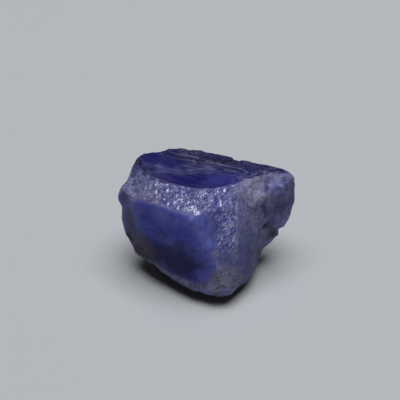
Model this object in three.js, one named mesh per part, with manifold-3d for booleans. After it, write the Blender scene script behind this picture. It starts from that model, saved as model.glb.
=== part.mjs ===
// A rough tanzanite crystal fragment: one solid stone that rests on a small worn flat.
//
// Millimetres, +Z up. +X runs along the stone's length, and the broad broken face looks to -Y.
// The origin is the middle of the stone's outline on the ground, at the height of the resting flat.
//
// The stone is a stub of prism with a wedge of broken crystal in front of it. A knob, a chipped lip,
// a heel and a web of crystal fill it out. Each is the convex hull of its corners. They are joined,
// hollowed by shell-shaped fractures, divided finely, worn and made uneven. The crisp cleavage steps
// and the resting flat come last.

import * as THREE from "three";
import { ConvexGeometry } from "three/addons/geometries/ConvexGeometry.js";
import { ImprovedNoise } from "three/addons/math/ImprovedNoise.js";
import { TessellateModifier } from "three/addons/modifiers/TessellateModifier.js";
import { mergeVertices } from "three/addons/utils/BufferGeometryUtils.js";
import Module from "manifold-3d";

// ---- Driving dimensions, in millimetres ----

const LENGTH = 18; // along X
const DEPTH = 12; // along Y
const HEIGHT = 12.6; // along Z, from the lowest corner to the highest, before the flat is worn

const FLAT_WEAR = 0.25; // taken off the underside to make the resting flat

// The cleavage face on top: its height over the middle, and its fall to +X and rise to +Y.
const TOP_HEIGHT = 0.929 * HEIGHT;
const TOP_FALL = 0.07;
const TOP_RISE = 0.13;
const BACK_DISTANCE = 0.93 * (DEPTH / 2); // from the middle of the stone to the prism's back face
const BACK_MIDDLE = 0.55 * HEIGHT; // the height of that face's middle
const GRAIN_ANGLE = THREE.MathUtils.degToRad(-15); // the prism's own axis, turned from +X in plan

const EDGE_MAX = 0.9; // longest triangle edge of the divided surface
const DIVIDE_ROUNDS = 12; // enough halvings to bring the longest edge of a piece below that
const WEAR_PASSES = 2; // each rounds every edge a little more
const WEAR_SHARE = 0.3; // how far one pass moves a point towards the middle of its neighbours

// The unevenness of the broken surface: wide swells with finer ones over them.
const SWELLS = [
  { spacing: 4.2, height: 0.2 },
  { spacing: 1.7, height: 0.1 },
  { spacing: 0.8, height: 0.045 },
];
const SWELL_OFFSET = new THREE.Vector3(11.3, 23.7, 37.1); // keeps the field's three parts unlike
const CALM_DEPTH = 1.6; // the cleavage face stays flat, and the swells grow over this depth below

// ---- Places ----

// A place in the stone: x and y in percent of half its length and depth, z in percent of its height.
const at = (x, y, z) =>
  new THREE.Vector3((x * LENGTH) / 200, (y * DEPTH) / 200, (z * HEIGHT) / 100);

const direction = (x, y, z) => new THREE.Vector3(x, y, z);

const topHeight = (x, y) => TOP_HEIGHT - TOP_FALL * x + TOP_RISE * y;

function onTop(x, y, below = 0) {
  const place = at(x, y, 0);
  return place.setZ(topHeight(place.x, place.y) - below);
}

// ---- Solids ----

const solids = await Module();
solids.setup();
const { Manifold } = solids;

const MERGE_DISTANCE = 1e-4;

function solidOf(geometry) {
  const bare = new THREE.BufferGeometry();
  bare.setAttribute("position", geometry.attributes.position);
  bare.setIndex(geometry.index);
  const joined = mergeVertices(bare, MERGE_DISTANCE);
  const mesh = new solids.Mesh({
    numProp: 3,
    vertProperties: new Float32Array(joined.attributes.position.array),
    triVerts: new Uint32Array(joined.index.array),
  });
  return new Manifold(mesh);
}

function geometryOf(solid) {
  const mesh = solid.getMesh();
  const geometry = new THREE.BufferGeometry();
  geometry.setAttribute("position", new THREE.BufferAttribute(mesh.vertProperties, mesh.numProp));
  geometry.setIndex(new THREE.BufferAttribute(mesh.triVerts, 1));
  return geometry;
}

const hull = (corners) => solidOf(new ConvexGeometry(corners));

// ---- The pieces of the body ----

// Wear takes the sharp corners back, so the furthest of them stand a little past 100 percent.

// The front of the cleavage face lies this far below the rest where the bevel breaks off.
const BRINK = 0.2;

// The broken wedge in front: cleavage face, bevel, broad front face, ridge and right face.
function wedge() {
  const topEdge = [
    onTop(-72, 60),
    onTop(-64, 18, BRINK),
    onTop(-43, 5, BRINK),
    onTop(-20, -5, BRINK),
    onTop(5, -3, BRINK),
    onTop(62, 34),
  ];
  const bevelFoot = [
    at(-96, 16, 72),
    at(-78, -11, 78),
    at(-58, -25, 81),
    at(-37, -47, 80),
    at(-19, -58, 78),
  ];
  const ridge = [at(6, -74, 52), at(13, -88, 35)];
  const shoulder = [
    at(19, -32, 82),
    at(58, -4, 76),
    at(35, -30, 76),
    at(34, -54, 56),
    at(32, -79, 34),
  ];
  const foot = [
    at(-100, 16, 53),
    at(-99, 12, 47),
    at(-95, 8, 38),
    at(-86, -6, 28),
    at(-60, -43, 23.5),
    at(-51, -54, 20),
    at(-40, -65, 17.5),
    at(-30, -75, 16),
    at(-19, -85, 15),
    at(3, -97, 15),
    at(12, -100, 14),
    at(25, -98, 14),
    at(34, -89, 15),
    at(51, -60, 15),
    at(61, -26, 18),
    at(67, 16, 23),
  ];
  const underside = [
    at(-45, 22, 0),
    at(-25, -17, 0),
    at(11, -44, 0),
    at(32, -24, 0),
    at(48, 16, 0),
    at(33, 50, 0),
    at(-31, 54, 0),
    at(36, 74, 24),
    at(-58, 76, 26),
  ];
  const joint = [at(50, 60, 64), at(-95, 34, 60), at(-91, 30, 40)];
  return hull([...topEdge, ...bevelFoot, ...ridge, ...shoulder, ...foot, ...underside, ...joint]);
}

// The stub of prism behind the wedge. Its right end stands out past the wedge's right face.
function prism() {
  const topEdge = [
    onTop(-79, 62),
    onTop(-71, 75),
    onTop(-36, 83),
    onTop(2, 80),
    onTop(60, 57),
    onTop(92, 47),
    onTop(101, 34),
    onTop(62, 36),
  ];
  const rightEnd = [
    at(91, 18, 84),
    at(92, 16, 68),
    at(91, 15, 52),
    at(86, 13, 40),
    at(103, 36, 78),
    at(103, 32, 60),
    at(101, 29, 47),
    at(94, 23, 37),
    at(99, 56, 73),
    at(93, 54, 48),
  ];
  const back = [
    at(-80, 80, 82),
    at(-76, 92, 55),
    at(-62, 86, 27),
    at(-18, 102, 80),
    at(-16, 104, 46),
    at(88, 66, 80),
    at(84, 66, 44),
    at(62, 62, 25),
    at(-14, 86, 23),
  ];
  const leftEnd = [at(-91, 52, 87), at(-97, 36, 66), at(-94, 26, 39)];
  return hull([...topEdge, ...rightEnd, ...back, ...leftEnd]);
}

// A broken knob on the left end, under the bevel.
const knob = hull([
  at(-96, 20, 83),
  at(-103, 26, 75),
  at(-103, 20, 66),
  at(-97, 16, 63),
  at(-101, 42, 76),
  at(-100, 44, 64),
  at(-78, -4, 77),
  at(-80, -2, 61),
  at(-78, 60, 85),
  at(-80, 60, 55),
]);

// A chipped lip along the foot of the front face, near its left end.
const lip = hull([
  at(-87, -3, 31),
  at(-85, -13, 23),
  at(-77, -25, 22.5),
  at(-67, -37, 24),
  at(-62, -36, 29),
  at(-70, 2, 20),
  at(-58, -22, 20),
]);

// Crystal that fills the angle between the wedge's right face and the prism's front.
const web = hull([
  at(56, 16, 85),
  at(84, 20, 84),
  at(54, -8, 77),
  at(83, 15, 67),
  at(55, -14, 60),
  at(79, 10, 54),
  at(58, -12, 46),
  at(50, 30, 87),
  at(50, 30, 52),
]);

// The heel low in the same angle, under the prism's right end.
const heel = hull([
  at(62, -6, 24),
  at(78, 10, 25),
  at(87, 18, 31),
  at(84, 16, 43),
  at(68, 0, 49),
  at(57, -12, 42),
  at(62, 34, 21),
  at(80, 38, 30),
  at(50, 20, 37),
]);

// ---- Shell-shaped fractures ----

// A shallow dish cut by a ball: the lowest point lies `deep` below `place`, against `outward`.
function dish(place, outward, radius, deep) {
  const ball = new THREE.IcosahedronGeometry(radius, Math.ceil(radius / EDGE_MAX));
  const centre = place.clone().addScaledVector(outward.clone().normalize(), radius - deep);
  ball.translate(centre.x, centre.y, centre.z);
  return solidOf(ball);
}

const dishes = [
  dish(at(-92, 50, 48), direction(-1, 0.3, -0.1), 6, 0.35), // left end, below the knob
  dish(at(-45, 95, 64), direction(-0.3, 1, 0.1), 8, 0.45), // high on the back
  dish(at(40, 86, 42), direction(0.3, 1, -0.3), 7, 0.4), // low on the back
  dish(at(-58, 40, 14), direction(-0.7, 0.1, -0.7), 6, 0.4), // under the left end
  dish(at(62, 40, 23), direction(0.6, 0.4, -0.7), 5, 0.4), // under the right end
];

// ---- The worn, uneven surface ----

// For each corner of an indexed surface, the set of corners it shares an edge with.
function neighboursOf(geometry) {
  const neighbours = Array.from({ length: geometry.attributes.position.count }, () => new Set());
  const corners = geometry.index.array;
  for (let i = 0; i < corners.length; i += 3) {
    for (let j = 0; j < 3; j++) {
      const from = corners[i + j];
      const to = corners[i + ((j + 1) % 3)];
      neighbours[from].add(to);
      neighbours[to].add(from);
    }
  }
  return neighbours;
}

function wearEdges(geometry) {
  const neighbours = neighboursOf(geometry);
  const position = geometry.attributes.position;
  for (let pass = 0; pass < WEAR_PASSES; pass++) {
    const before = neighbours.map((_, i) => new THREE.Vector3().fromBufferAttribute(position, i));
    neighbours.forEach((around, i) => {
      const middle = new THREE.Vector3();
      for (const other of around) middle.add(before[other]);
      middle.divideScalar(around.size);
      const worn = before[i].clone().lerp(middle, WEAR_SHARE);
      position.setXYZ(i, worn.x, worn.y, worn.z);
    });
  }
}

// Moves every point by a smooth field. Each swell's height is a small share of its spacing, so
// the field never folds the surface over itself.
function addSwells(geometry) {
  const noise = new ImprovedNoise();
  const position = geometry.attributes.position;
  const point = new THREE.Vector3();
  for (let i = 0; i < position.count; i++) {
    point.fromBufferAttribute(position, i);
    const below = topHeight(point.x, point.y) - point.z;
    const calm = THREE.MathUtils.smoothstep(below, 0, CALM_DEPTH);
    const move = new THREE.Vector3();
    SWELLS.forEach(({ spacing, height }, layer) => {
      const place = point.clone().divideScalar(spacing);
      move.x += height * noise.noise(place.x + SWELL_OFFSET.x, place.y, place.z + layer);
      move.y += height * noise.noise(place.x, place.y + SWELL_OFFSET.y, place.z + layer);
      move.z += height * noise.noise(place.x, place.y + layer, place.z + SWELL_OFFSET.z);
    });
    point.addScaledVector(move, calm);
    position.setXYZ(i, point.x, point.y, point.z);
  }
}

function unevenSolid(solid) {
  const divided = new TessellateModifier(EDGE_MAX, DIVIDE_ROUNDS).modify(geometryOf(solid).toNonIndexed());
  const surface = mergeVertices(divided, MERGE_DISTANCE);
  wearEdges(surface);
  addSwells(surface);
  return solidOf(surface);
}

// ---- Cleavage steps ----

// The steps lie on two faces: the top, and the prism's back. Each face has a frame of its own, with
// x along the grain, z out of the stone and y across.
function faceFrame(middle, out) {
  const grain = new THREE.Vector3(Math.cos(GRAIN_ANGLE), Math.sin(GRAIN_ANGLE), 0);
  const z = out.clone().normalize();
  const y = new THREE.Vector3().crossVectors(z, grain).normalize();
  const x = new THREE.Vector3().crossVectors(y, z);
  return new THREE.Matrix4().makeBasis(x, y, z).setPosition(middle);
}

const topFrame = faceFrame(direction(0, 0, TOP_HEIGHT), direction(TOP_FALL, -TOP_RISE, 1));
const outOfBack = direction(-Math.sin(GRAIN_ANGLE), Math.cos(GRAIN_ANGLE), 0);
const backFrame = faceFrame(outOfBack.clone().multiplyScalar(BACK_DISTANCE).setZ(BACK_MIDDLE), outOfBack);

// The ragged edge of a step: how far apart its points lie, how long its waves are and how deep.
const RAGGED_SPACING = 0.5;
const RAGGED_WAVE = 0.77;
const RAGGED_HEIGHT = 0.16;

function raggedOutline(corners) {
  const noise = new ImprovedNoise();
  const outline = [];
  corners.forEach((corner, i) => {
    const start = new THREE.Vector2(...corner);
    const end = new THREE.Vector2(...corners[(i + 1) % corners.length]);
    const count = Math.ceil(start.distanceTo(end) / RAGGED_SPACING);
    for (let j = 0; j < count; j++) {
      const point = start.clone().lerp(end, j / count);
      const wave = noise.noise(point.x / RAGGED_WAVE, point.y / RAGGED_WAVE, i + 0.5);
      const shift = RAGGED_HEIGHT * wave;
      outline.push(new THREE.Vector2(point.x + shift, point.y + shift));
    }
  });
  return outline;
}

const OUTSIDE = 4; // how far a step's block reaches out of the stone

// The block whose removal lowers the part of a face inside the outline by `deep`.
function step(frame, deep, corners) {
  const block = new THREE.ExtrudeGeometry(new THREE.Shape(raggedOutline(corners)), {
    depth: OUTSIDE + deep,
    bevelEnabled: false,
  });
  block.translate(0, 0, -deep);
  return solidOf(block.applyMatrix4(frame));
}

const FAR = 12; // past every edge of the stone

const steps = [
  // the low left corner, left of the raised ledge at the back
  step(topFrame, 0.42, [[-FAR, 0.4], [-6, 0.7], [-5.4, 1.8], [-5.2, 3.2], [-4.6, FAR], [-FAR, FAR]]),
  // right of the raised ledge, and again right of the nick
  step(topFrame, 0.08, [[-1.8, 2], [FAR, 2], [FAR, FAR], [-1.2, FAR]]),
  step(topFrame, 0.2, [[2.5, 2], [FAR, 2], [FAR, FAR], [2.1, FAR]]),
  // in front of the ledge, which runs along the back edge
  step(topFrame, 0.2, [
    [-FAR, -FAR], [FAR, -FAR], [FAR, 2.6], [1.1, 3.2], [-0.5, 3.4], [-3.7, 3.1], [-FAR, 3],
  ]),
  // down to the polished front
  step(topFrame, 0.3, [
    [-FAR, -FAR], [FAR, -FAR], [FAR, 0.6], [4, 2], [2.6, 2.6], [1.2, 2.4], [-0.9, 2.1], [-3, 1], [-FAR, 0.8],
  ]),
  // the nick in the back edge and the dark hollow to its left
  step(topFrame, 0.6, [[2.1, 3.5], [2.3, 4.4], [2.7, FAR], [1.4, FAR], [1.75, 4.4]]),
  step(topFrame, 0.3, [[0.5, 3.5], [2, 3.6], [1.9, 4.3], [0.9, 4.1]]),
  // steps down the prism's back, which run the whole way along it
  step(backFrame, 0.2, [[-FAR, 0.6], [-1, 0.9], [3, 1.5], [FAR, 1.2], [FAR, FAR], [-FAR, FAR]]),
  step(backFrame, 0.1, [[-FAR, -1.4], [2, -1.8], [FAR, -1.5], [FAR, 0.1], [1, -0.2], [-FAR, -0.4]]),
  step(backFrame, 0.45, [[-FAR, 2.4], [1, 2.6], [FAR, 2.9], [FAR, FAR], [-FAR, FAR]]),
];

// ---- The stone ----

let stone = Manifold.union([wedge(), prism(), knob, lip, web, heel]);
stone = Manifold.difference([stone, ...dishes]);
stone = unevenSolid(stone);
stone = Manifold.difference([stone, ...steps]);

const ground = new THREE.BoxGeometry(2 * LENGTH, 2 * DEPTH, HEIGHT);
ground.translate(0, 0, FLAT_WEAR - HEIGHT / 2);
stone = stone.subtract(solidOf(ground));

const geometry = geometryOf(stone);
geometry.computeBoundingBox();
const { min, max } = geometry.boundingBox;
geometry.translate(-(min.x + max.x) / 2, -(min.y + max.y) / 2, -min.z);

const crystal = new THREE.MeshStandardMaterial({ color: 0x2e2f78, roughness: 0.4, metalness: 0 });
const mesh = new THREE.Mesh(geometry, crystal);
mesh.name = "rough_tanzanite";

const group = new THREE.Group();
group.add(mesh);

export default group;
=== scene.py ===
"""The looks of a rough tanzanite crystal: a fine surface over its CAD solid, its material, a pale stage.

Lengths are in millimetres until a mesh, a node or an object takes them, and in metres from there on.
"""

import math

import bpy
import numpy as np
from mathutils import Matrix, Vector


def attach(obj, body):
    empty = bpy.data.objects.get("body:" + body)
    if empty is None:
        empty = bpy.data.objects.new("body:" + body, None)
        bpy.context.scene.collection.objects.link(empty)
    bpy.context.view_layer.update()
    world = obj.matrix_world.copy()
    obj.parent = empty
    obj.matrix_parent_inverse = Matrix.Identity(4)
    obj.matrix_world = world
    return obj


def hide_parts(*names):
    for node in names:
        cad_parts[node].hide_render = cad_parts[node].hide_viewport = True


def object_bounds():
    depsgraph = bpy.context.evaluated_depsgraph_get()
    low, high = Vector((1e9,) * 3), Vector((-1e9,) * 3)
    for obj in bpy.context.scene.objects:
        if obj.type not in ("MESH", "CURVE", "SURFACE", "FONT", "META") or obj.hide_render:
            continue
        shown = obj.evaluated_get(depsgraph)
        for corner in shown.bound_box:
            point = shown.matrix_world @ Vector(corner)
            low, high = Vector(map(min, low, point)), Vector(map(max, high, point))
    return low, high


NODE = "rough_tanzanite"
BODY = "root"
MM = 0.001

# ---- The surface ----

VOXEL = 0.097  # spacing of the fine surface's points
SETTLE_ROUNDS = 4  # smoothing that takes the voxel steps out of slanting faces
SETTLE_SHARES = (0.5, -0.52)  # how far each of these rounds moves a point in, and out again
FACE_ROUNDS = 8  # smoothing that finds the large faces' directions
HOLLOW_ROUNDS = 160  # smoothing that opens the deep hollow
EDGE_ROUNDS = 14  # smoothing that finds how far an edge stands out
EDGE_HEIGHT = (0.01, 0.05)  # that height on a soft edge and on a sharp one
BLUR_ROUNDS = 14  # smoothing that makes one kind of face run into the next
RELIEF_ROUNDS = 2  # smoothing of the directions in which the relief stands out
WALL_ROUNDS = 1  # smoothing of the directions that tell a step's wall from the cleavage face

GRAIN = (math.cos(math.radians(-15)), math.sin(math.radians(-15)), 0.0)  # the prism's own axis
STROKE = (0.5, 0.62, 0.6)  # the way the etch marks lean
HAZE = (1.0, 0.0, 0.3)  # the way the haze in the smooth front lies
UPRIGHT = (0.0, 0.0, 1.0)

# The stone's faces by kind, each as the direction it looks in.
FACES = {
    "top": [(0.07, -0.13, 0.99)],
    "etched": [
        (0.05, -0.48, 0.88),
        (-0.4, -0.6, 0.69),
        (0.44, -0.62, 0.65),
        (-0.67, -0.35, 0.66),
        (0.3, -0.85, 0.44),
    ],
    "belly": [(-0.46, -0.87, 0.15), (-0.7, -0.71, 0.04), (-0.13, -0.96, 0.25)],
    "broken": [
        (0.57, -0.74, 0.36),
        (0.73, -0.64, 0.22),
        (0.95, -0.29, 0.09),
        (1.0, 0.1, 0.0),
        (-0.2, -0.45, -0.87),
        (-0.7, 0.1, -0.7),
        (-0.88, 0.47, -0.06),
        (-0.5, 0.86, 0.0),
    ],
    "prism": [(0.25, 0.97, 0.0), (0.2, 0.9, 0.38), (0.2, 0.9, -0.38)],
}
FACE_SHARPNESS = 60.0  # the higher, the narrower the seam between two faces
FACE_WOBBLE = 0.12  # how far noise turns a direction before it is sorted into a kind of face
PLACE_WOBBLE = 5.0  # how far noise shifts a place before it is sorted, in percent
FLAT_TILT = (0.98, 0.998)  # cosine of the tilt where the cleavage face turns into the wall of a step
UNDER = (0.15, 0.6)  # how far a face looks down where the painted shade of the underside starts, and where it is full

# Noise, as a sum of layers. Each layer has its strength, the direction that it runs in, its length that way,
# its width, and a number that makes it differ from the others.
NOISES = {
    "wobble": [(1.0, UPRIGHT, 0.8, 0.8, 1), (0.6, UPRIGHT, 0.3, 0.3, 6)],
    "brink": [(1.0, UPRIGHT, 0.5, 0.5, 16), (0.7, UPRIGHT, 0.22, 0.22, 19)],
    "area": [(0.22, UPRIGHT, 0.9, 0.9, 14), (0.12, UPRIGHT, 0.35, 0.35, 15)],
    "lines": [(1.0, GRAIN, 5.0, 0.2, 8), (0.6, GRAIN, 3.0, 0.5, 9)],
    "streaks": [(1.0, UPRIGHT, 2.4, 0.5, 10), (0.8, UPRIGHT, 0.3, 0.3, 11)],
    "waves": [(1.0, UPRIGHT, 1.6, 1.6, 12), (0.3, UPRIGHT, 0.5, 0.5, 13)],
    "lumps": [(1.0, UPRIGHT, 1.3, 1.3, 17), (0.5, UPRIGHT, 0.6, 0.6, 18)],
}
# The small planes in the relief: the length and width of the etched ones, and the size of the others.
COARSE_FLAKE = (1.0, 0.5)
FINE_FLAKE = (0.5, 0.27)
CHIP = 0.8
SCALLOP = 1.1
BREAK = 1.5

# How far each part of the fine relief stands out, or goes in.
RELIEF = {
    "coarse etch": 0.035,
    "fine etch": 0.06,
    "front waves": 0.03,
    "broken streaks": 0.04,
    "broken lumps": 0.05,
    "prism lines": 0.035,
    "prism lumps": 0.04,
    "soft facets": 0.05,
    "top lines": 0.004,
    "crack": 0.14,
    "edge loss": 0.1,
    "edge chips": 0.15,
    "rim scallops": 0.16,
    "rim chips": 0.1,
    "hump": 0.16,
}
CRISP_TOP = 0.7  # the share of the edge chips that the cleavage face is spared

# The cleavage face reaches this far down, with all its steps.
CLEAVED_DEPTH = (0.9, 1.1)
# Its front edge seen from above, from left to right, in percent of half the length and half the depth.
BRINK = [
    *((-84, 66), (-77, 46), (-71, 27), (-62, 11), (-47, 1), (-33, -3), (-18, -7), (-6, -9)),
    *((8, -6), (23, 2), (34, 11), (48, 24), (60, 32), (74, 36), (101, 40)),
]
BRINK_BLUR = 2.0
# It wavers: some places along the length, and how much it wavers there.
BRINK_RAGGED = ((-64, -40, 20, 44), (5.0, 1.2, 1.2, 6.5))
# The etch fades out towards the right shoulder and towards the foot, in percent of length and height.
ETCH_SIDE = (30.0, 40.0)
ETCH_FOOT = (44.0, 54.0)
# Above this height a steep face is etched too, in percent.
ETCH_HEAD = (80.0, 86.0)
# The smooth front ends here, in percent of length.
SMOOTH_SIDE = (45.0, 58.0)

# Where an area starts to fade out, as a share of the way to where it ends.
AREA_CORE = 0.15

# Places on the stone. Each starts with the distance over which it fades out, in millimetres. The corners
# of a chain follow, or a single point: x and y in percent of half the stone's length and depth, and z in
# percent of its height. The first ones have a shape of their own, but no colour.
FORMS = {
    # a deep hollow that wear has opened
    "hollow": [(1.9, (64, 12, 48), (72, 12, 45))],
    # the chipped lower edge
    "rim": [
        (
            0.9,
            *((-90, -2, 40), (-78, -18, 30), (-66, -34, 25), (-43, -62, 19)),
            *((-21, -81, 18), (5, -97, 18), (30, -92, 17)),
        ),
    ],
    # two low swellings on the back edge of the cleavage face
    "hump": [(1.5, (-44, 88, 99), (-30, 86, 99)), (0.9, (-14, 82, 98), (-6, 80, 98))],
    # where the smooth front laps over the edge of the bevel, and the column between it and the ridge
    "smooth": [
        (0.8, (-84, -10, 76), (-62, -27, 79), (-39, -47, 80), (-20, -58, 78)),
        (1.3, (-6, -58, 75), (-2, -62, 67), (1, -70, 57), (3, -77, 47)),
    ],
}
# These have a colour.
AREAS = {
    # the polished hollow at the front of the cleavage face
    "pool": [(2.2, (-42, 8, 93), (-20, 6, 92), (6, 10, 91), (30, 20, 90), (44, 25, 90))],
    # saturated blue: on the smooth front, in the pool and down the ridge a painted glow where light comes
    # through the stone; at the back left of the cleavage face the stone's own dark blue
    "royal": [
        (3.4, (-34, -57, 64)),
        (2.6, (-62, -34, 62)),
        (0.32, (10, -22, 85), (11, -35, 81), (13, -43, 76), (12, -50, 70), (8, -57, 64)),
        (1.7, (2, 14, 91), (24, 20, 91)),
        (2.2, (-68, 62, 97), (-52, 54, 97), (-38, 50, 97)),
    ],
    # painted shade, near black: low on the smooth front, where little light comes through the stone, and in
    # dark patches, bands and recesses of the cleavage face
    "deep": [
        (3.9, (-60, -40, 33), (-38, -60, 34), (-28, -69, 36)),
        (1.3, (-36, 14, 93), (-20, 8, 92), (-8, 22, 92)),
        (0.6, (-48, 78, 98), (-30, 74, 99), (-10, 68, 97), (8, 60, 95)),
        (0.9, (8, 58, 95), (24, 60, 94), (34, 62, 93)),
        (0.7, (20, 37, 92), (32, 36, 92), (46, 32, 91)),
    ],
    # milky, full of small fractures; on the smooth front it is also painted light, where light comes in
    # below the bevel
    "milky": [
        (2.0, (-50, -38, 78), (-24, -56, 77)),
        (1.7, (-10, -58, 76), (-2, -63, 66), (1, -71, 55), (-1, -80, 42)),
        (2.0, (46, 4, 84), (56, 8, 83)),
    ],
    # the clear column between the smooth front and the etched ridge
    "column": [(1.5, (-10, -56, 77), (-3, -62, 68), (0, -69, 59))],
    # slate blue, clear under a frosted skin; low on the right face it is also painted shade
    "slate": [(2.2, (42, -44, 46)), (1.6, (40, -60, 34)), (1.2, (22, -72, 42))],
    # bright blue windows in the right shoulder
    "window": [(1.6, (82, 16, 82)), (1.1, (71, 15, 82)), (1.6, (88, 19, 47))],
    # painted shade: low on the right face, and on the right lobe and its end
    "shade": [
        (3.0, (44, -56, 22), (60, -30, 30)),
        (1.2, (68, 6, 62), (80, 10, 62), (92, 18, 62)),
        (2.2, (98, 28, 76), (98, 26, 58)),
        (1.2, (60, -14, 40)),
    ],
    # mauve, where the skin is thin
    "mauve": [
        (0.9, (46, -14, 78), (48, -20, 72)),
        (0.8, (58, -8, 70)),
        (1.0, (34, -80, 24)),
        (0.8, (56, -36, 40)),
        (1.1, (72, 12, 50), (74, 10, 40)),
        (1.0, (-56, 13, 93), (-44, 9, 93)),
    ],
    # dark cracks: a shallow cut in the relief, with painted shade down the crevices
    "crack": [
        (0.45, (62, -4, 70), (66, 2, 60), (69, 8, 54)),
        (0.4, (67, 26, 87), (66, 14, 82), (64, 2, 73)),
        (0.35, (86, 26, 88), (88, 20, 78), (82, 17, 74)),
    ],
    # the light line down the edge between the etched ridge and the broken faces
    "ridge": [(0.2, (34, -4, 86), (33, -22, 78), (33, -38, 70), (33, -52, 59), (32, -64, 48))],
    # dull mauve end of the smooth front
    "lobe": [(1.2, (-93, 14, 79), (-90, 8, 73))],
    # brown with iron
    "stain": [
        (2.3, (-84, -12, 40), (-70, -28, 31)),
        (1.2, (-89, 0, 60), (-86, -5, 48)),
        (1.1, (74, 8, 36)),
        (1.2, (62, -22, 26)),
    ],
    # the crumbly right end of the cleavage face's front edge
    "crumbly": [(1.1, (36, 12, 89), (50, 26, 89), (62, 34, 89), (76, 38, 88), (96, 42, 88))],
    # the back of the cleavage face, with its many thin steps
    "terraces": [
        (2.2, (-20, 62, 97), (-4, 56, 96), (20, 50, 94)),
        (2.0, (36, 44, 92), (66, 42, 91)),
        (1.0, (-78, 44, 93), (-68, 20, 93), (-56, 8, 92)),
    ],
    # thin bright lines along the steps of the cleavage face, partly where a step has chipped and partly
    # painted highlight, and a painted highlight on a glassy bump at the right
    "bright": [
        (0.13, (-2, 56, 95), (17, 47, 94), (38, 42, 92), (46, 34, 91)),
        (0.12, (20, 38, 93), (35, 34, 92), (44, 26, 91)),
        (0.14, (30, 62, 93), (33, 58, 92)),
        (0.16, (-46, 70, 98), (-28, 66, 98), (-10, 60, 97)),
        (0.5, (64, 28, 88), (67, 24, 86)),
    ],
    # wisps of fracture under the cleavage face
    "wisps": [
        (0.7, (-54, 26, 95), (-42, 30, 95), (-30, 26, 94)),
        (0.5, (-34, 38, 95), (-14, 46, 95)),
        (0.5, (-66, 44, 96), (-48, 38, 96)),
        (0.9, (-16, 34, 94), (4, 38, 94)),
        (0.9, (-82, 42, 92), (-72, 22, 91), (-62, 10, 91)),
    ],
    # fine upright striations with little sparkle
    "brow": [(1.7, (-88, 40, 84), (-80, 30, 88), (-70, 12, 89))],
    # the duller part of the etch
    "dull": [(2.4, (-88, 8, 80), (-66, -6, 86)), (1.2, (-56, -20, 84))],
    # chalky bruises
    "chalk": [
        (
            0.5,
            *((-88, -4, 38), (-78, -18, 30), (-66, -34, 25), (-55, -49, 22)),
            *((-43, -62, 19), (-21, -81, 18), (5, -97, 18)),
        ),
        (2.1, (12, -94, 20), (18, -94, 26), (30, -86, 22)),
    ],
    # two small breaks with a painted white flash
    "flash": [(0.46, (-14, -41, 82)), (0.42, (-11, -48, 80))],
    # thick etch down the front of the ridge, with more painted glints
    "crust": [(1.3, (20, -34, 77), (20, -46, 70), (23, -56, 61))],
    # dense sparkling etch, with more painted glints
    "sparkle": [
        (1.6, (-46, -8, 88), (-34, -20, 86), (-18, -30, 85)),
        (1.5, (-8, -18, 88), (4, -20, 87)),
        (2.0, (20, -10, 88), (26, -24, 80)),
        (1.8, (20, -28, 79), (20, -46, 70), (23, -58, 60), (22, -64, 55)),
        (1.0, (-40, -34, 84), (-20, -42, 83)),
    ],
}

# ---- Colours ----

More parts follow.
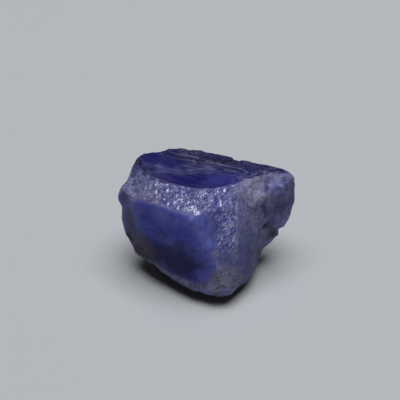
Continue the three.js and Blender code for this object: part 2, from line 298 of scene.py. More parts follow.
# Linear red, green and blue. Where there are two, they are the dark and the light end of a texture.
COLOURS = {
    # frosted broken faces
    "broken": ((0.075, 0.09, 0.29), (0.18, 0.16, 0.31)),
    "streak": (0.20, 0.205, 0.43),
    "patch": (0.11, 0.09, 0.19),
    "frosting": (0.26, 0.26, 0.45),
    "dust": (0.10, 0.095, 0.24),
    "mauve": ((0.11, 0.08, 0.19), (0.19, 0.15, 0.29)),
    "grains": (0.38, 0.38, 0.60),
    "milky": ((0.22, 0.215, 0.37), (0.37, 0.37, 0.56)),
    # partly painted shade, low on the right face
    "slate": ((0.07, 0.08, 0.24), (0.13, 0.145, 0.35)),
    "window": ((0.15, 0.165, 0.45), (0.34, 0.36, 0.74)),
    "chalk": ((0.11, 0.105, 0.18), (0.20, 0.195, 0.31)),
    "chalk crumbs": (0.36, 0.36, 0.52),
    # also the painted shade down the cracks
    "pits": (0.03, 0.028, 0.08),
    # the prism's own faces, and the painted shade on them and on the broken ones
    "sides": ((0.035, 0.04, 0.21), (0.075, 0.08, 0.29)),
    "sides streak": (0.17, 0.175, 0.42),
    "sides seam": (0.02, 0.02, 0.09),
    "shade": ((0.05, 0.05, 0.15), (0.12, 0.12, 0.27)),
    # the smooth front, and the column beside it
    "front": ((0.06, 0.075, 0.42), (0.09, 0.11, 0.54)),
    # painted glow, where light comes through the front
    "front royal": (0.022, 0.036, 0.42),
    # partly painted light, where light comes in below the bevel
    "front milky": ((0.065, 0.09, 0.48), (0.125, 0.155, 0.64)),
    "haze": (0.20, 0.215, 0.62),
    # painted shade, low on the smooth front where little light comes through
    "front deep shade": (0.0, 0.0, 0.085),
    "specks": (0.3, 0.3, 0.6),
    "lobe": ((0.05, 0.04, 0.16), (0.11, 0.10, 0.28)),
    "column": ((0.085, 0.105, 0.45), (0.17, 0.20, 0.64)),
    # the etched bevel and ridge
    "frost": ((0.038, 0.045, 0.21), (0.16, 0.17, 0.49)),
    "frost drift": (0.06, 0.08, 0.33),
    "crust": (0.19, 0.22, 0.76),
    "frost dull": ((0.13, 0.13, 0.31), (0.30, 0.295, 0.54)),
    "brow": ((0.06, 0.065, 0.20), (0.32, 0.33, 0.58)),
    # painted glow down the ridge
    "frost royal": (0.03, 0.035, 0.33),
    # painted glints; the coat also makes these flakes mirror the lamp
    "glint": (0.62, 0.67, 1.0),
    # the cleavage face, and the polished hollow in it
    "cleaved": ((0.016, 0.016, 0.12), (0.032, 0.032, 0.17)),
    "cleaved wisp": (0.075, 0.075, 0.23),
    "cleaved royal": (0.016, 0.016, 0.16),
    "terraces": ((0.02, 0.018, 0.08), (0.10, 0.095, 0.26)),
    "wall": ((0.012, 0.012, 0.06), (0.07, 0.07, 0.22)),
    "grit": (0.2, 0.2, 0.44),
    "pool": ((0.022, 0.022, 0.15), (0.03, 0.03, 0.17)),
    # painted glow in the pool
    "pool royal": (0.045, 0.048, 0.285),
    # painted shade in the pool
    "pool deep shade": (0.014, 0.015, 0.13),
    "pool wisp": (0.09, 0.09, 0.26),
    "cleaved mauve": (0.05, 0.04, 0.165),
    "wisps": (0.13, 0.145, 0.37),
    "crumbly": (0.15, 0.145, 0.29),
    # painted shade in the recesses and dark bands of the cleavage face
    "recess shade": ((0.006, 0.006, 0.045), (0.03, 0.028, 0.10)),
    # marks on every kind of face
    "ridge": (0.34, 0.36, 0.60),
    # partly painted highlight
    "bright": (0.24, 0.245, 0.44),
    "rust": ((0.022, 0.017, 0.032), (0.052, 0.038, 0.062)),
    "worn": ((0.10, 0.10, 0.22), (0.34, 0.34, 0.52)),
    # painted shade where the surface lies deep in a hollow
    "groove": (0.03, 0.025, 0.07),
    # painted shade on faces that look down
    "underside shade": ((0.03, 0.026, 0.045), (0.075, 0.066, 0.10)),
}

# Soft noise. Each texture has the direction that it runs in, its length that way and its width. Some also
# have their detail, and the levels of the noise where the texture starts and where it is full.
TEXTURES = {
    "cloud": (GRAIN, 2.4, 2.4),
    "patch": (UPRIGHT, 1.3, 0.8),
    "fine": (GRAIN, 0.3, 0.3, 4.0),
    "grain": (GRAIN, 0.12, 0.12, 3.0, 0.0, 1.0),
    # broken faces, and the hair of the brow
    "band": (UPRIGHT, 4.0, 0.9, 3.0, 0.42, 0.58),
    "streak": (UPRIGHT, 1.8, 0.5, 4.0),
    "dust": (UPRIGHT, 0.34, 0.2, 2.0, 0.5, 0.62),
    "crumbs": (UPRIGHT, 0.22, 0.18, 3.0, 0.5, 0.62),
    "hair": (UPRIGHT, 1.6, 0.13, 3.0, 0.4, 0.6),
    # prism faces
    "side lines": (GRAIN, 5.0, 0.16, 4.0, 0.4, 0.65),
    "seams": (GRAIN, 3.5, 0.12, 2.0, 0.62, 0.68),
    # smooth front
    "haze": (HAZE, 1.6, 0.6, 5.0, 0.5, 0.75),
    # etched faces
    "lines": (STROKE, 0.4, 0.11, 4.0, 0.4, 0.6),
    "drift": (STROKE, 1.1, 0.6, 3.0, 0.42, 0.56),
    # cleavage face
    "line": (GRAIN, 2.4, 0.13, 4.0, 0.45, 0.7),
    "wisp": (GRAIN, 1.4, 0.3, 4.0, 0.48, 0.68),
    "top crumbs": (GRAIN, 0.5, 0.22, 3.0, 0.46, 0.6),
}

# Flecks in some of many scattered cells. Each pattern has the direction that its cells run in, their length
# that way and their width, the share of them with a fleck, and the fleck's size in its cell. A fleck
# without a size fills its cell.
FLECKS = {
    "grains": (UPRIGHT, 0.22, 0.14, 0.3, None),
    "pits": (UPRIGHT, 0.5, 0.33, 0.12, 0.4),
    "specks": (STROKE, 0.4, 0.28, 0.08, 0.4),
    # painted glints of the etch
    "large glint": (STROKE, 0.36, 0.15, 0.26, None),
    "small glint": (STROKE, 0.2, 0.09, 0.28, None),
    "spark": (STROKE, 0.34, 0.2, 0.2, 0.6),
    "crust glint": (STROKE, 0.26, 0.13, 0.34, None),
    "grit": (GRAIN, 0.3, 0.13, 0.14, None),
}
CELL_WANDER = 0.8  # how ragged the cells are
CELL_TURNS = 1.3  # how often their edges turn

# How rough each kind of face is.
ROUGH = {
    "broken": 0.6,
    "prism": 0.45,
    "etched": 0.35,
    "belly": 0.38,
    "top": 0.2,
    "pool": 0.14,
    "wall": 0.9,
}
# The share of the light that goes into each kind of face, and how much of that the deep areas lose.
CLEAR = {"broken": 0.06, "belly": 0.2, "top": 0.2}
DEEP_LOSS = 0.7
# The grain that is too fine for the mesh: its height, and how strong it is on each kind of face.
GRAIN_HEIGHT = 0.03
GRAIN_STRENGTH = {"broken": 0.9, "belly": 0.25, "top": 0.05}

FLAKE_TILT = 0.55  # how far the flakes of the etch are tilted
FLAKE_ROUGH = 0.18
FLAKE_IOR = 2.1  # more than the stone's own, for the light that comes back from under a flake
STONE_IOR = 1.69
STONE_SHEEN = 0.14  # how much it mirrors, where 0.5 is a perfect polish
DEPTH_COLOUR = (0.05, 0.07, 0.78)  # the light that the stone lets through
DEPTH_DENSITY = 250.0

# ---- The camera and the stage ----

CAMERA_TARGET = (-0.7, 0.0, 9.3)
CAMERA_ELEVATION = math.radians(38)
CAMERA_DISTANCE = 113.6
CAMERA_LENS = 100.0

FLOOR_HALF = 3000.0
LAMP_PLACE = (60.0, 60.0, 1200.0)
LAMP_SIDE = 950.0
LAMP_STRENGTH = 12.9
FLOOR_COLOUR = (0.60, 0.625, 0.665)
FLOOR_ROUGH = 0.9
FLOOR_SHEEN = 0.1
BACKDROP = (0.42, 0.44, 0.47)  # what is seen behind the floor
ROOM_LIGHT = (0.017, 0.016, 0.011)  # the dim light that the room gives back

# ---- Numbers on a surface ----

NOISE_START = 100.0  # keeps the cells of the noise away from zero


def unit(vectors):
    """Each vector at a length of 1."""
    vectors = np.asarray(vectors, float)
    return vectors / np.maximum(np.linalg.norm(vectors, axis=-1, keepdims=True), 1e-9)


def smoothstep(low, high, values):
    """From 0 at `low` to 1 at `high`, with a soft start and a soft end."""
    t = np.clip((values - low) / (high - low), 0, 1)
    return t * t * (3 - 2 * t)


def cell_random(cells, salt):
    """A number from 0 to 1 for each row of whole numbers."""
    x, y, z = (cells[..., i].astype(np.int64) for i in range(3))
    h = (x * 73856093) ^ (y * 19349663) ^ (z * 83492791) ^ (salt * 2654435761)
    h &= 0xFFFFFFFF
    h = ((h ^ (h >> 13)) * 1274126177) & 0xFFFFFFFF
    h = ((h ^ (h >> 15)) * 2246822519) & 0xFFFFFFFF
    return (h ^ (h >> 16)) / 0xFFFFFFFF


def stretched(points, along, long, short):
    """The points in units of `short`, or of `long` in the direction `along`."""
    along = unit(along)
    return (points + np.outer(points @ along, along) * (short / long - 1)) / short


def soft_noise(points, salt):
    """Smooth noise from -1 to 1 that varies over about 1."""
    scaled = points + NOISE_START
    base = np.floor(scaled)
    t = scaled - base
    t = t * t * (3 - 2 * t)
    total = np.zeros(len(points))
    for corner in np.ndindex(2, 2, 2):
        weight = np.prod(np.where(corner, t, 1 - t), axis=1)
        total += weight * cell_random(base + corner, salt)
    return 2 * total - 1


def layered(points, name, salt=0):
    """The named noise. Another salt makes another noise of the same kind."""
    total = np.zeros(len(points))
    for strength, along, long, short, own_salt in NOISES[name]:
        total += strength * soft_noise(stretched(points, along, long, short), own_salt + salt)
    return total


def facets(points, size, salt):
    """A tilted plane round each of many scattered centres: its height at each point, and its own number."""
    scaled = points / size + NOISE_START
    base = np.floor(scaled)
    best = np.full(len(points), np.inf)
    away = np.zeros_like(points)
    cell = np.zeros_like(points)
    for step in np.ndindex(3, 3, 3):
        here = base + step - 1
        jitter = np.stack([cell_random(here, salt + i) for i in range(3)], axis=1)
        offset = scaled - (here + jitter)
        distance = (offset**2).sum(axis=1)
        closer = distance < best
        best[closer] = distance[closer]
        away[closer] = offset[closer]
        cell[closer] = here[closer]
    turn = unit(np.stack([cell_random(cell, salt + 7 + i) for i in range(3)], axis=1) - 0.5)
    return (away * turn).sum(axis=1) * size, cell_random(cell, salt + 11)


class Surface:
    """The points, edges and face directions of a mesh, as arrays in millimetres."""

    def __init__(self, mesh):
        count = len(mesh.vertices)
        self.mesh = mesh
        self.points = np.empty(count * 3)
        mesh.vertices.foreach_get("co", self.points)
        self.points = self.points.reshape(-1, 3) / MM
        edges = np.empty(len(mesh.edges) * 2, int)
        mesh.edges.foreach_get("vertices", edges)
        self.edges = edges.reshape(-1, 2)
        ends = np.concatenate([self.edges[:, 0], self.edges[:, 1]])
        self.degree = np.bincount(ends, minlength=count)[:, None]

    def around(self, values):
        """The mean of each point's neighbours."""
        a, b = self.edges.T
        total = np.stack(
            [
                np.bincount(a, values[b, i], len(values)) + np.bincount(b, values[a, i], len(values))
                for i in range(values.shape[1])
            ],
            axis=1,
        )
        return total / self.degree

    def spread(self, values, rounds):
        """The values, or the directions, smoothed over the surface."""
        column = values.ndim == 1
        values = values[:, None] if column else values
        for _ in range(rounds):
            values = 0.5 * values + 0.5 * self.around(values)
        return values[:, 0] if column else values

    def settle(self, rounds):
        """Smooths without shrinking: each round moves in, then a little further out again."""
        for _ in range(rounds):
            for share in SETTLE_SHARES:
                self.points += share * (self.around(self.points) - self.points)

    def normals(self):
        """The direction in which the surface looks at each point."""
        self.store()
        out = np.empty(len(self.points) * 3)
        self.mesh.vertices.foreach_get("normal", out)
        return out.reshape(-1, 3)

    def store(self):
        """Moves the mesh's points to where they are here."""
        self.mesh.vertices.foreach_set("co", (self.points * MM).ravel())
        self.mesh.update()

    def keep(self, name, values):
        """Gives the mesh a weight from 0 to 1 that its material can read."""
        attribute = self.mesh.attributes.new(name, "FLOAT", "POINT")
        attribute.data.foreach_set("value", np.clip(values, 0, 1).astype(np.float32))


# ---- The stone's fine surface ----


def remeshed(node):
    """A new object with the node's solid as an even grid of small faces."""
    piece = bpy.data.objects.new("tanzanite_surface", node.data.copy())
    bpy.context.scene.collection.objects.link(piece)
    grid = piece.modifiers.new("grid", "REMESH")
    grid.mode = "VOXEL"
    grid.voxel_size = VOXEL * MM
    graph = bpy.context.evaluated_depsgraph_get()
    piece.data = bpy.data.meshes.new_from_object(piece.evaluated_get(graph))
    piece.modifiers.clear()
    return piece


def percent_frame():
    """The point that percents are counted from, and the lengths that are 100 percent."""
    low, high = (np.array(corner) / MM for corner in cad_box)
    return (low + high) / 2 * (1, 1, 0), (high - low) * (0.5, 0.5, 1)


def percents(points):
    """Each point's x and y in percent of half the length and depth, and its z in percent of the height."""
    start, whole = percent_frame()
    return (points - start) / whole * 100


def face_kinds(points, normals):
    """How far each point belongs to each kind of face, from 0 to 1. The shares of a point add up to 1."""
    wobble = np.stack([layered(points, "wobble", salt) for salt in range(3)], axis=1)
    out = unit(normals + FACE_WOBBLE * wobble)
    directions = unit([direction for kind in FACES.values() for direction in kind])
    closeness = out @ directions.T
    share = np.exp(FACE_SHARPNESS * (closeness - closeness.max(axis=1, keepdims=True)))
    share /= share.sum(axis=1, keepdims=True)
    kinds = {}
    column = 0
    for name, faces in FACES.items():
        kinds[name] = share[:, column : column + len(faces)].sum(axis=1)
        column += len(faces)

    up = unit(FACES["top"][0])
    depth = (points @ up).max() - points @ up
    place = percents(points) + PLACE_WOBBLE * wobble
    behind = behind_brink(points)
    hand_over(kinds, "etched", "top", behind * (1 - smoothstep(*CLEAVED_DEPTH, depth)))
    hand_over(kinds, "top", "etched", 1 - behind)
    hand_over(kinds, "etched", "broken", smoothstep(*ETCH_SIDE, place[:, 0]))
    hand_over(kinds, "etched", "broken", 1 - smoothstep(*ETCH_FOOT, place[:, 2]))
    hand_over(kinds, "belly", "etched", smoothstep(*ETCH_HEAD, place[:, 2]))
    hand_over(kinds, "belly", "broken", smoothstep(*SMOOTH_SIDE, place[:, 0]))
    hand_over(kinds, "belly", "broken", area_share(points, AREAS["chalk"]))
    hand_over(kinds, "etched", "belly", area_share(points, FORMS["smooth"]))
    return kinds


def behind_brink(points):
    """Whether each point lies behind the front edge of the cleavage face, from 0 to 1."""
    x, y, _ = percents(points).T
    ragged = np.interp(x, *BRINK_RAGGED) * layered(points, "brink")
    return smoothstep(-BRINK_BLUR, BRINK_BLUR, y + ragged - np.interp(x, *np.transpose(BRINK)))


def soften(surface, kinds):
    """Lets the other kinds of face run into each other, and keeps the cleavage face crisp."""
    rest = 1 - kinds["top"]
    for name in kinds:
        if name != "top":
            blurred = surface.spread(kinds[name], BLUR_ROUNDS)
            kinds[name] = blurred * rest / np.maximum(surface.spread(rest, BLUR_ROUNDS), 0.01)


def hand_over(kinds, giver, taker, share):
    """Turns a share of one kind of face into another."""
    kinds[taker] = kinds[taker] + kinds[giver] * share
    kinds[giver] = kinds[giver] * (1 - share)


def from_chain(points, corners):
    """How far each point is from a chain of straight pieces, or from its only corner."""
    nearest = np.linalg.norm(points - corners[0], axis=1)
    for start, end in zip(corners, corners[1:]):
        way = end - start
        along = np.clip((points - start) @ way / (way @ way), 0, 1)
        nearest = np.minimum(nearest, np.linalg.norm(points - start - along[:, None] * way, axis=1))
    return nearest


def area_share(points, places):
    """How far each point lies inside any of the places, from 0 to 1."""
    start, whole = percent_frame()
    ragged = layered(points, "area")
    share = np.zeros(len(points))
    for reach, *corners in places:
        away = from_chain(points, start + np.array(corners) / 100 * whole) / reach
        share = np.maximum(share, 1 - smoothstep(AREA_CORE, 1.0, away + ragged))
    return share


def edges_and_grooves(surface, normals):
    """How sharply each point stands out of its surroundings, and how deep it lies in them, from 0 to 1."""
    height = ((surface.points - surface.spread(surface.points, EDGE_ROUNDS)) * normals).sum(axis=1)
    return smoothstep(*EDGE_HEIGHT, height), smoothstep(*EDGE_HEIGHT, -height)


def open_hollow(surface):
    """Rounds out the deep hollow."""
    share = area_share(surface.points, FORMS["hollow"])[:, None]
    surface.points += share * (surface.spread(surface.points, HOLLOW_ROUNDS) - surface.points)


def relief(surface, kinds, edge, normals):
    """Fine shape, along the surface's own directions."""
    points = surface.points
    coarse, _ = facets(stretched(points, STROKE, *COARSE_FLAKE), 1.0, 20)
    fine, _ = facets(stretched(points, STROKE, *FINE_FLAKE), 1.0, 40)
    chips, pick = facets(points, CHIP, 60)
    scallops, _ = facets(points, SCALLOP, 80)
    breaks, _ = facets(points, BREAK, 100)
    lines = layered(points, "lines")
    lumps = layered(points, "lumps")
    crack = area_share(points, AREAS["crack"])
    etch = RELIEF["coarse etch"] * coarse + RELIEF["fine etch"] * fine
    broken = RELIEF["broken streaks"] * layered(points, "streaks") + RELIEF["broken lumps"] * lumps
    broken += RELIEF["soft facets"] * breaks - RELIEF["crack"] * crack
    prism = RELIEF["prism lines"] * lines + RELIEF["prism lumps"] * lumps + RELIEF["soft facets"] * breaks
    loss = RELIEF["edge loss"] * pick + RELIEF["edge chips"] * np.abs(chips)
    rim = RELIEF["rim scallops"] * scallops + RELIEF["rim chips"] * chips
    height = (
        kinds["etched"] * etch
        + kinds["belly"] * RELIEF["front waves"] * layered(points, "waves")
        + kinds["broken"] * broken
        + kinds["prism"] * prism
        + kinds["top"] * (1 - area_share(points, AREAS["pool"])) * RELIEF["top lines"] * lines
        - edge * (1 - CRISP_TOP * kinds["top"]) * loss
        + area_share(points, FORMS["rim"]) * rim
        + area_share(points, FORMS["hump"]) * RELIEF["hump"]
    )
    surface.points = points + normals * height[:, None]
    # nothing sinks below the resting flat
    surface.points[:, 2] = np.maximum(surface.points[:, 2], cad_box[0][2] / MM)


def fine_stone(node):
    """The stone's fine surface, with a weight for each kind of face and each area."""
    piece = remeshed(node)
    surface = Surface(piece.data)
    surface.settle(SETTLE_ROUNDS)
    open_hollow(surface)
    normals = surface.normals()
    kinds = face_kinds(surface.points, unit(surface.spread(normals, FACE_ROUNDS)))
    soften(surface, kinds)
    edge, groove = edges_and_grooves(surface, normals)
    relief(surface, kinds, edge, unit(surface.spread(normals, RELIEF_ROUNDS)))
    level = unit(surface.spread(surface.normals(), WALL_ROUNDS)) @ unit(FACES["top"][0])
    weights = {name: area_share(surface.points, places) for name, places in AREAS.items()}
    weights |= kinds | {"edge": edge, "groove": groove}
    weights["wall"] = 1 - smoothstep(*FLAT_TILT, level)
    weights["under"] = smoothstep(*UNDER, -surface.spread(normals, FACE_ROUNDS)[:, 2])
    for name, values in weights.items():
        surface.keep(name, values)
    piece.data.shade_smooth()
    return piece


# ---- Materials ----


class Shader:
    """Short names for making one material's nodes."""

    def __init__(self, name):
        self.material = bpy.data.materials.new(name)
        self.material.use_nodes = True
        self.nodes = self.material.node_tree.nodes
        self.links = self.material.node_tree.links
        self.skin = self.nodes["Principled BSDF"]

    def put(self, socket, value):
        """Links the input to another node's output, or sets it to a plain value."""
        if isinstance(value, bpy.types.NodeSocket):
            self.links.new(value, socket)
        else:
            socket.default_value = value

    def attribute(self, name):
        """A weight that the mesh holds."""
        node = self.nodes.new("ShaderNodeAttribute")
        node.attribute_name = name
        return node.outputs["Fac"]

    def math(self, operation, a, b):
        node = self.nodes.new("ShaderNodeMath")
        node.operation = operation
        self.put(node.inputs[0], a)
        self.put(node.inputs[1], b)
        return node.outputs[0]

    def times(self, *values):
        """The product of all the values."""
        product = values[0]
        for value in values[1:]:
            product = self.math("MULTIPLY", product, value)
        return product

    def rest(self, share):
        """What the share leaves of 1."""
        return self.math("SUBTRACT", 1.0, share)

    def most(self, a, b):
        """The larger of the two."""
        return self.math("MAXIMUM", a, b)

    def mix(self, share, a, b):
        """From colour `a` at a share of 0 to colour `b` at 1."""
        node = self.nodes.new("ShaderNodeMix")
        node.data_type = "RGBA"
        self.put(node.inputs["Factor"], share)
        self.put(node.inputs["A"], (*a, 1) if isinstance(a, tuple) else a)
        self.put(node.inputs["B"], (*b, 1) if isinstance(b, tuple) else b)
        return node.outputs["Result"]

    def blend(self, share, a, b):
        """From number `a` at a share of 0 to number `b` at 1."""
        node = self.nodes.new("ShaderNodeMix")
        self.put(node.inputs["Factor"], share)
        self.put(node.inputs["A"], a)
        self.put(node.inputs["B"], b)
        return node.outputs["Result"]

    def ramp(self, value, low, high):
        """The value stretched so that `low` becomes 0 and `high` 1."""
        node = self.nodes.new("ShaderNodeMapRange")
        self.put(node.inputs["Value"], value)
        node.inputs["From Min"].default_value = low
        node.inputs["From Max"].default_value = high
        return node.outputs["Result"]

    def place(self, along, long, short):
        """The place on the stone in units of `short`, or of `long` in the direction `along`."""
        node = self.nodes.new("ShaderNodeMapping")
        node.vector_type = "TEXTURE"
        self.put(node.inputs["Vector"], self.nodes.new("ShaderNodeTexCoord").outputs["Object"])
        node.inputs["Rotation"].default_value = Vector(along).to_track_quat("X", "Z").to_euler()
        node.inputs["Scale"].default_value = (long * MM, short * MM, short * MM)
        return node.outputs["Vector"]

    def noise(self, along, long, short, detail=3.0, low=0.35, high=0.65):
        """Soft noise that is 0 below the level `low` and 1 above `high`."""
        node = self.nodes.new("ShaderNodeTexNoise")
        self.put(node.inputs["Vector"], self.place(along, long, short))
        node.inputs["Scale"].default_value = 1.0
        node.inputs["Detail"].default_value = detail
        return self.ramp(node.outputs["Fac"], low, high)

    def cells(self, along, long, short):
        """Scattered ragged cells: the distance from the middle of each, and a colour of its own."""
        place = self.place(along, long, short)
        shift = self.nodes.new("ShaderNodeTexNoise")
        self.put(shift.inputs["Vector"], place)
        shift.inputs["Scale"].default_value = CELL_TURNS
        node = self.nodes.new("ShaderNodeTexVoronoi")
        wander = self.vector("SCALE", shift.outputs["Color"], CELL_WANDER)
        self.put(node.inputs["Vector"], self.vector("ADD", place, wander))
        node.inputs["Scale"].default_value = 1.0
        return node.outputs["Distance"], node.outputs["Color"]

    def flecks(self, along, long, short, share, size):
        """Flecks in about `share` of the cells, some of them faint, and the cells' own colours."""
        distance, own = self.cells(along, long, short)
        lit = self.ramp(self.channel(own, "Red"), 1 - share, 1 - 0.2 * share)
        lit = self.times(lit, lit)
        if size:
            lit = self.times(lit, self.ramp(distance, size, 0.6 * size))
        return lit, own

    def channel(self, colour, name):
        node = self.nodes.new("ShaderNodeSeparateColor")
        self.put(node.inputs["Color"], colour)
        return node.outputs[name]

    def vector(self, operation, a, b=(0.0, 0.0, 0.0)):
        node = self.nodes.new("ShaderNodeVectorMath")
        node.operation = operation
        self.put(node.inputs[0], a)
        self.put(node.inputs["Scale"] if operation == "SCALE" else node.inputs[1], b)
        return node.outputs["Vector"]


class Crystal(Shader):
    """The stone's material: a layer of colour for each kind of face, then the marks on all of them."""

    def __init__(self):
        super().__init__("tanzanite")
        names = ("top", "etched", "belly", "prism", "edge", "groove", "wall", "under", *AREAS)
        self.weights = {name: self.attribute(name) for name in names}
        self.textures = {name: self.noise(*values) for name, values in TEXTURES.items()}
        self.scattered = {name: self.flecks(*values) for name, values in FLECKS.items()}

    def on(self, name, *shares):
        """A kind of face or an area, times the shares."""
        return self.times(self.weights[name], *shares)

    def texture(self, name, *shares):
        """One of the textures, times the shares."""
        return self.times(self.textures[name], *shares)

    def fleck(self, name, *shares):
        """One of the patterns of flecks, times the shares."""
        return self.times(self.scattered[name][0], *shares)

    def colour(self, name, texture=None):
        """A colour, or one between its dark and its light end as the texture says."""
        return self.mix(self.textures[texture], *COLOURS[name]) if texture else COLOURS[name]

    def paint(self, under, share, name, texture=None):
        """The colour laid over the one under it."""
        return self.mix(share, under, self.colour(name, texture))

    def broken(self):
        """Frosted broken faces: soft upright streaks, mauve and slate patches, small dark pits."""
        colour = self.colour("broken", "band")
        colour = self.paint(colour, self.texture("streak", 0.6), "streak")
        colour = self.paint(colour, self.texture("patch", 0.4), "patch")
        colour = self.paint(colour, self.texture("fine", 0.5), "frosting")
        colour = self.paint(colour, self.texture("dust", 0.5), "dust")
        colour = self.paint(colour, self.on("mauve", 0.8), "mauve", "patch")
        colour = self.paint(colour, self.fleck("grains", 0.4), "grains")
        colour = self.paint(colour, self.on("milky"), "milky", "fine")
        # slate, and painted shade low on the right face
        colour = self.paint(colour, self.on("slate"), "slate", "streak")
        colour = self.paint(colour, self.on("window"), "window", "streak")
        colour = self.paint(colour, self.on("chalk"), "chalk", "patch")
        colour = self.paint(colour, self.on("chalk", self.texture("crumbs"), 0.55), "chalk crumbs")
        # small dark pits, and painted shade down the cracks
        return self.paint(colour, self.most(self.fleck("pits"), self.on("crack", 0.75)), "pits")

    def sides(self):
        """The prism's own faces, streaked along its axis."""
        grain = self.texture("side lines", self.blend(self.texture("patch"), 0.35, 0.8))
        colour = self.colour("sides", "cloud")
        colour = self.paint(colour, grain, "sides streak")
        return self.paint(colour, self.texture("seams", 0.6), "sides seam")

    def front(self):
        """The smooth front, with painted light and painted shade inside, and haze."""
        colour = self.colour("front", "cloud")
        # painted glow where light comes through the front
        colour = self.paint(colour, self.on("royal"), "front royal")
        # milky, and on the front also painted light below the bevel
        colour = self.paint(colour, self.on("milky"), "front milky", "cloud")
        colour = self.paint(colour, self.texture("haze", self.blend(self.on("milky"), 0.3, 0.5)), "haze")
        # painted shade, low on the front where little light comes through
        colour = self.paint(colour, self.on("deep"), "front deep shade")
        colour = self.paint(colour, self.fleck("specks", 0.5), "specks")
        return self.paint(colour, self.on("lobe"), "lobe", "streak")

    def glints(self):
        """How bright the painted glints on the flakes of the etch are, from 0 to 1."""
        lines = self.texture("lines")
        glint = self.most(self.fleck("large glint"), self.fleck("small glint", 0.8))
        glint = self.most(self.times(glint, self.blend(lines, 0.7, 1.0)), self.fleck("spark"))
        glint = self.times(glint, self.blend(self.on("sparkle"), 0.35, 1.0))
        glint = self.times(glint, self.blend(self.texture("drift"), 0.16, 1.0))
        glint = self.most(glint, self.fleck("crust glint", self.on("crust")))
        glint = self.times(glint, self.rest(self.on("brow", 0.6)))
        # painted white flash at two small breaks
        flash = self.times(self.ramp(self.on("flash"), 0.25, 0.45), self.blend(lines, 0.3, 1.0))
        return self.most(glint, flash)

    def frost(self, glint):
        """The etched bevel and ridge: slate skin, blue between, and crowds of flakes with painted glints."""
        colour = self.colour("frost", "lines")
        colour = self.paint(colour, self.texture("drift", 0.35), "frost drift")
        colour = self.paint(colour, self.on("crust", self.texture("lines"), 0.5), "crust")
        colour = self.paint(colour, self.on("dull"), "frost dull", "lines")
        colour = self.paint(colour, self.on("brow"), "brow", "hair")
        # painted glow down the ridge
        colour = self.paint(colour, self.on("royal", 0.85), "frost royal")
        # painted glints
        return self.paint(colour, glint, "glint")

    def pool(self):
        """The clear polished hollow at the front of the cleavage face."""
        colour = self.colour("pool", "cloud")
        # painted glow in the pool
        colour = self.paint(colour, self.on("royal"), "pool royal")
        # painted shade in the pool
        colour = self.paint(colour, self.on("deep"), "pool deep shade")
        return self.paint(colour, self.texture("wisp", 0.2), "pool wisp")

    def cleaved(self):
        """The cleavage face, with streaks and wisps along the grain."""
        wisp = self.texture("wisp")
        colour = self.colour("cleaved", "cloud")
        colour = self.paint(colour, self.texture("wisp", 0.55), "cleaved wisp")
        colour = self.paint(colour, self.on("royal", 0.8), "cleaved royal")
        colour = self.paint(colour, self.on("terraces", 0.8), "terraces", "line")
        colour = self.paint(colour, self.on("wall", 0.45), "wall", "line")
        colour = self.paint(colour, self.fleck("grit", self.on("terraces"), 0.5), "grit")
        colour = self.mix(self.on("pool"), colour, self.pool())
        colour = self.paint(colour, self.on("mauve", self.blend(wisp, 0.4, 0.9)), "cleaved mauve")
        colour = self.paint(colour, self.on("wisps", self.blend(wisp, 0.2, 0.9)), "wisps")
        colour = self.paint(colour, self.on("crumbly", self.texture("top crumbs"), 0.8), "crumbly")
        # painted shade in the recesses and dark bands of the cleavage face
        return self.paint(colour, self.on("deep", 0.85, self.rest(self.on("pool"))), "recess shade", "fine")

    def marked(self, colour):
        """All faces: light ridge, bright cracks partly painted as highlight, iron stain, worn edges, painted
        shade in hollows and on the dull underside.
        """
        fine = self.texture("fine")
        colour = self.paint(colour, self.on("ridge", self.blend(fine, 0.1, 0.9)), "ridge")
        # bright lines, partly painted highlight
        colour = self.paint(colour, self.on("bright", self.blend(fine, 0.3, 0.8)), "bright")
        colour = self.paint(colour, self.on("stain", 0.85), "rust", "fine")
        spared = self.times(self.most(self.on("top"), self.on("etched")), 0.5)
        worn = self.on("edge", self.math("SUBTRACT", 0.55, spared), self.rest(self.on("stain", 0.7)))
        colour = self.paint(colour, worn, "worn", "fine")
        # painted shade where the surface lies deep in a hollow
        colour = self.paint(colour, self.on("groove", 0.3), "groove")
        # painted shade on faces that look down
        return self.paint(colour, self.on("under", 0.8), "underside shade", "patch")

    def all_colours(self, glint):
        """The layers of all kinds of face, one over the other, and the marks."""
        colour = self.mix(self.on("prism"), self.broken(), self.sides())
        # painted shade on the lower right face and on the right lobe
        colour = self.paint(colour, self.on("shade", 0.7), "shade", "fine")
        colour = self.mix(self.on("belly"), colour, self.front())
        colour = self.paint(colour, self.on("column"), "column", "streak")
        colour = self.mix(self.on("etched"), colour, self.frost(glint))
        colour = self.mix(self.on("top"), colour, self.cleaved())
        return self.marked(colour)

    def tilted(self):
        """The surface's direction, with each flake of the etch tilted its own way."""
        _, own = self.scattered["large glint"]
        turn = self.vector("SUBTRACT", own, (0.5, 0.5, 0.5))
        turn = self.vector("SCALE", turn, self.on("etched", FLAKE_TILT))
        facing = self.nodes.new("ShaderNodeNewGeometry").outputs["Normal"]
        return self.vector("NORMALIZE", self.vector("ADD", facing, turn))

    def grainy(self, facing):
        """The direction with a grain on it that is too fine for the mesh."""
        bumps = self.nodes.new("ShaderNodeBump")
        bumps.inputs["Distance"].default_value = GRAIN_HEIGHT * MM
        strength = self.blend(self.on("belly"), GRAIN_STRENGTH["broken"], GRAIN_STRENGTH["belly"])
        strength = self.blend(self.on("top"), strength, GRAIN_STRENGTH["top"])
        self.put(bumps.inputs["Height"], self.texture("grain"))
        self.put(bumps.inputs["Strength"], strength)
        self.put(bumps.inputs["Normal"], facing)
        return bumps.outputs["Normal"]

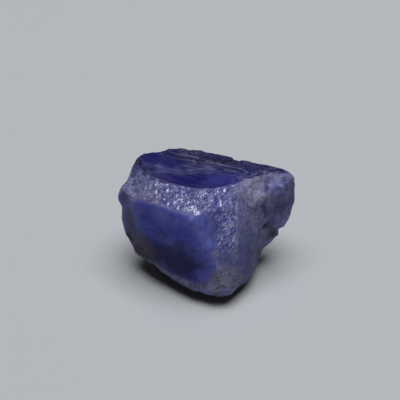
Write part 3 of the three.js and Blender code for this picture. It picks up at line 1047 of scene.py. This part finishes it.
    def roughness(self):
        """How rough the skin is, by kind of face."""
        rough = self.blend(self.on("prism"), ROUGH["broken"], ROUGH["prism"])
        rough = self.blend(self.on("etched"), rough, ROUGH["etched"])
        rough = self.blend(self.on("belly"), rough, ROUGH["belly"])
        level = self.blend(self.on("pool"), ROUGH["top"], ROUGH["pool"])
        return self.blend(self.on("top"), rough, self.blend(self.on("wall"), level, ROUGH["wall"]))

    def clearness(self):
        """The share of the light that goes into the stone."""
        level = self.on("top", self.rest(self.on("wall")))
        clear = self.blend(self.on("belly"), CLEAR["broken"], CLEAR["belly"])
        clear = self.blend(level, clear, CLEAR["top"])
        return self.times(clear, self.rest(self.on("deep", DEEP_LOSS)))


def crystal():
    """The stone's material."""
    shader = Crystal()
    skin = shader.skin
    glint = shader.glints()
    facing = shader.tilted()
    shader.put(skin.inputs["Base Color"], shader.all_colours(glint))
    shader.put(skin.inputs["Normal"], shader.grainy(facing))
    shader.put(skin.inputs["Roughness"], shader.roughness())
    shader.put(skin.inputs["Transmission Weight"], shader.clearness())
    skin.inputs["IOR"].default_value = STONE_IOR
    skin.inputs["Specular IOR Level"].default_value = STONE_SHEEN
    shader.put(skin.inputs["Coat Weight"], shader.on("etched", glint))
    shader.put(skin.inputs["Coat Normal"], facing)
    skin.inputs["Coat Roughness"].default_value = FLAKE_ROUGH
    skin.inputs["Coat IOR"].default_value = FLAKE_IOR
    depth = shader.nodes.new("ShaderNodeVolumeAbsorption")
    depth.inputs["Color"].default_value = (*DEPTH_COLOUR, 1)
    depth.inputs["Density"].default_value = DEPTH_DENSITY
    shader.links.new(depth.outputs["Volume"], shader.nodes["Material Output"].inputs["Volume"])
    return shader.material


# ---- The stage ----


def stage_floor():
    """A pale floor that reaches far beyond the picture."""
    half = FLOOR_HALF * MM
    corners = [(-half, -half, 0), (half, -half, 0), (half, half, 0), (-half, half, 0)]
    mesh = bpy.data.meshes.new("floor")
    mesh.from_pydata(corners, [], [(0, 1, 2, 3)])
    floor = bpy.data.objects.new("floor", mesh)
    bpy.context.scene.collection.objects.link(floor)
    shader = Shader("pale_floor")
    shader.skin.inputs["Base Color"].default_value = (*FLOOR_COLOUR, 1)
    shader.skin.inputs["Roughness"].default_value = FLOOR_ROUGH
    shader.skin.inputs["Specular IOR Level"].default_value = FLOOR_SHEEN
    mesh.materials.append(shader.material)


def aim(thing, place, target):
    """Puts a lamp or a camera in its place and turns it towards the target."""
    thing.location = Vector(place) * MM
    way = Vector(target) - Vector(place)
    thing.rotation_euler = way.to_track_quat("-Z", "Y").to_euler()
    bpy.context.scene.collection.objects.link(thing)


def lights():
    """One large soft lamp, a backdrop that only the camera sees, and a dim room for all other light."""
    light = bpy.data.lights.new("softbox", "AREA")
    light.shape = "SQUARE"
    light.size = LAMP_SIDE * MM
    light.energy = LAMP_STRENGTH
    aim(bpy.data.objects.new("softbox", light), LAMP_PLACE, (0, 0, 0))
    world = bpy.data.worlds.new("room")
    bpy.context.scene.world = world
    world.use_nodes = True
    nodes, links = world.node_tree.nodes, world.node_tree.links
    seen = nodes["Background"]
    seen.inputs["Color"].default_value = (*BACKDROP, 1)
    dim = nodes.new("ShaderNodeBackground")
    dim.inputs["Color"].default_value = (*ROOM_LIGHT, 1)
    path = nodes.new("ShaderNodeLightPath")
    choose = nodes.new("ShaderNodeMixShader")
    links.new(path.outputs["Is Camera Ray"], choose.inputs["Fac"])
    links.new(dim.outputs[0], choose.inputs[1])
    links.new(seen.outputs[0], choose.inputs[2])
    links.new(choose.outputs[0], nodes["World Output"].inputs["Surface"])


def camera():
    """One camera, from the front and a little above."""
    data = bpy.data.cameras.new("camera")
    data.lens = CAMERA_LENS
    data.clip_start = 1 * MM
    back = Vector((0, -math.cos(CAMERA_ELEVATION), math.sin(CAMERA_ELEVATION)))
    place = Vector(CAMERA_TARGET) + CAMERA_DISTANCE * back
    thing = bpy.data.objects.new("camera", data)
    aim(thing, place, CAMERA_TARGET)
    bpy.context.scene.camera = thing


# ---- The scene ----

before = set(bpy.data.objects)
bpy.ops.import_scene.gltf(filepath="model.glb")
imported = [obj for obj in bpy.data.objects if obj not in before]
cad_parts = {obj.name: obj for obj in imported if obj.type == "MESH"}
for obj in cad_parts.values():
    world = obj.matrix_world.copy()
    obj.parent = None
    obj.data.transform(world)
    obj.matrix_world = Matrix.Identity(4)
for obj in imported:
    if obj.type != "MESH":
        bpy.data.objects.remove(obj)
cad_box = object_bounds()

stone = fine_stone(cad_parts[NODE])
stone.data.materials.clear()
stone.data.materials.append(crystal())
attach(stone, BODY)
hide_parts(NODE)

stage_floor()
lights()
camera()
bpy.context.scene.view_settings.view_transform = "Standard"
